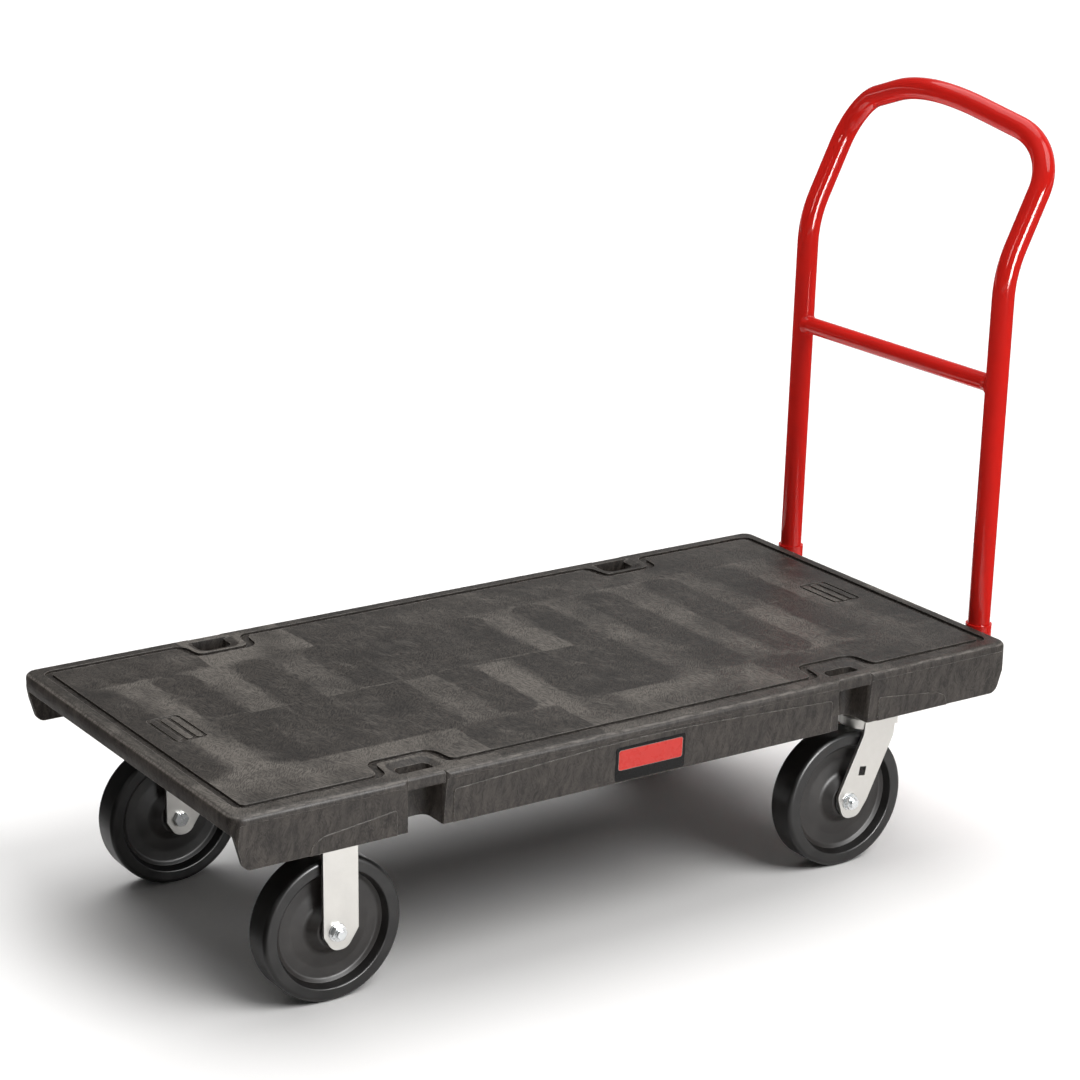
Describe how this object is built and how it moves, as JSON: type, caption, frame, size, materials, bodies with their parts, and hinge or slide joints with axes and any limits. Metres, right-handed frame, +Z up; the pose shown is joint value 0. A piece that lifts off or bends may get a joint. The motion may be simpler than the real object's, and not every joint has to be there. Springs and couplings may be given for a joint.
{
  "type": "platform truck",
  "caption": "Flat moulded platform truck with a bent tube push handle standing in end sockets, rigid casters at one end and swivel casters at the other.",
  "frame": {"origin": "centre of the bounding box in plan, on the floor under the wheels", "axes": "+X towards the handle end and the swivel casters, +Y to the left of someone looking along +X with +Z up, which is the side away from the label, +Z up"},
  "size_m": [1.3615, 0.62, 1.0656],
  "materials": {
    "deck_foam": "dark grey-brown structural foam with flow streaks, satin",
    "red_paint": "gloss red powder coat",
    "caster_zinc": "satin zinc plate on pressed steel",
    "fastener_zinc": "bright zinc plate",
    "tread_rubber": "black moulded rubber, smooth tread",
    "wheel_plastic": "black moulded plastic, satin",
    "bushing_plastic": "natural nylon",
    "black_plastic": "black moulded plastic"
  },
  "bodies": {
    "chassis": {"axle_bolt_rigid_left": "fastener_zinc", "axle_bolt_rigid_right": "fastener_zinc", "axle_nut_rigid_left": "fastener_zinc", "axle_nut_rigid_right": "fastener_zinc", "axle_sleeve_rigid_left": "fastener_zinc", "axle_sleeve_rigid_right": "fastener_zinc", "deck_body": "deck_foam", "handle_socket_left": "red_paint", "handle_socket_right": "red_paint", "kingpin_left": "fastener_zinc", "kingpin_right": "fastener_zinc", "race_ring_left": "fastener_zinc", "race_ring_right": "fastener_zinc", "rigid_caster_bolts": "fastener_zinc", "rigid_fork_left": "caster_zinc", "rigid_fork_right": "caster_zinc", "socket_bolts": "fastener_zinc", "swivel_caster_bolts": "fastener_zinc", "swivel_plate_left": "caster_zinc", "swivel_plate_right": "caster_zinc", "thrust_washers_rigid_left": "black_plastic", "thrust_washers_rigid_right": "black_plastic"},
    "handle": {"handle_tube": "red_paint", "handle_crossbar": "red_paint", "leg_plugs": "black_plastic"},
    "swivel_left": {"swivel_yoke_left": "caster_zinc", "axle_sleeve_swivel_left": "fastener_zinc", "thrust_washers_swivel_left": "black_plastic", "axle_bolt_swivel_left": "fastener_zinc", "axle_nut_swivel_left": "fastener_zinc"},
    "swivel_right": {"swivel_yoke_right": "caster_zinc", "axle_sleeve_swivel_right": "fastener_zinc", "thrust_washers_swivel_right": "black_plastic", "axle_bolt_swivel_right": "fastener_zinc", "axle_nut_swivel_right": "fastener_zinc"},
    "wheel_rigid_left": {"tyre_rigid_left": "tread_rubber", "wheel_core_rigid_left": "wheel_plastic", "wheel_bearing_rigid_left": "bushing_plastic"},
    "wheel_rigid_right": {"tyre_rigid_right": "tread_rubber", "wheel_core_rigid_right": "wheel_plastic", "wheel_bearing_rigid_right": "bushing_plastic"},
    "wheel_swivel_left": {"tyre_swivel_left": "tread_rubber", "wheel_core_swivel_left": "wheel_plastic", "wheel_bearing_swivel_left": "bushing_plastic"},
    "wheel_swivel_right": {"tyre_swivel_right": "tread_rubber", "wheel_core_swivel_right": "wheel_plastic", "wheel_bearing_swivel_right": "bushing_plastic"}
  },
  "joints": [
    {"name": "handle_lift", "type": "slide", "parent": "chassis", "child": "handle", "axis": [0.0248, 0, 0.9997], "range_m": [0, 0.075]},
    {"name": "swivel_left_turn", "type": "hinge", "parent": "chassis", "child": "swivel_left", "pos_m": [0.37424, -0.2215, 0.225], "axis": [0, 0, 1], "continuous": true},
    {"name": "swivel_right_turn", "type": "hinge", "parent": "chassis", "child": "swivel_right", "pos_m": [0.37424, 0.2215, 0.225], "axis": [0, 0, 1], "continuous": true},
    {"name": "wheel_rigid_left_spin", "type": "hinge", "parent": "chassis", "child": "wheel_rigid_left", "pos_m": [-0.50576, -0.2215, 0.1], "axis": [0, 1, 0], "continuous": true},
    {"name": "wheel_rigid_right_spin", "type": "hinge", "parent": "chassis", "child": "wheel_rigid_right", "pos_m": [-0.50576, 0.2215, 0.1], "axis": [0, 1, 0], "continuous": true},
    {"name": "wheel_swivel_left_spin", "type": "hinge", "parent": "swivel_left", "child": "wheel_swivel_left", "pos_m": [0.32624, -0.2215, 0.1], "axis": [0, 1, 0], "continuous": true},
    {"name": "wheel_swivel_right_spin", "type": "hinge", "parent": "swivel_right", "child": "wheel_swivel_right", "pos_m": [0.32624, 0.2215, 0.1], "axis": [0, 1, 0], "continuous": true}
  ]
}
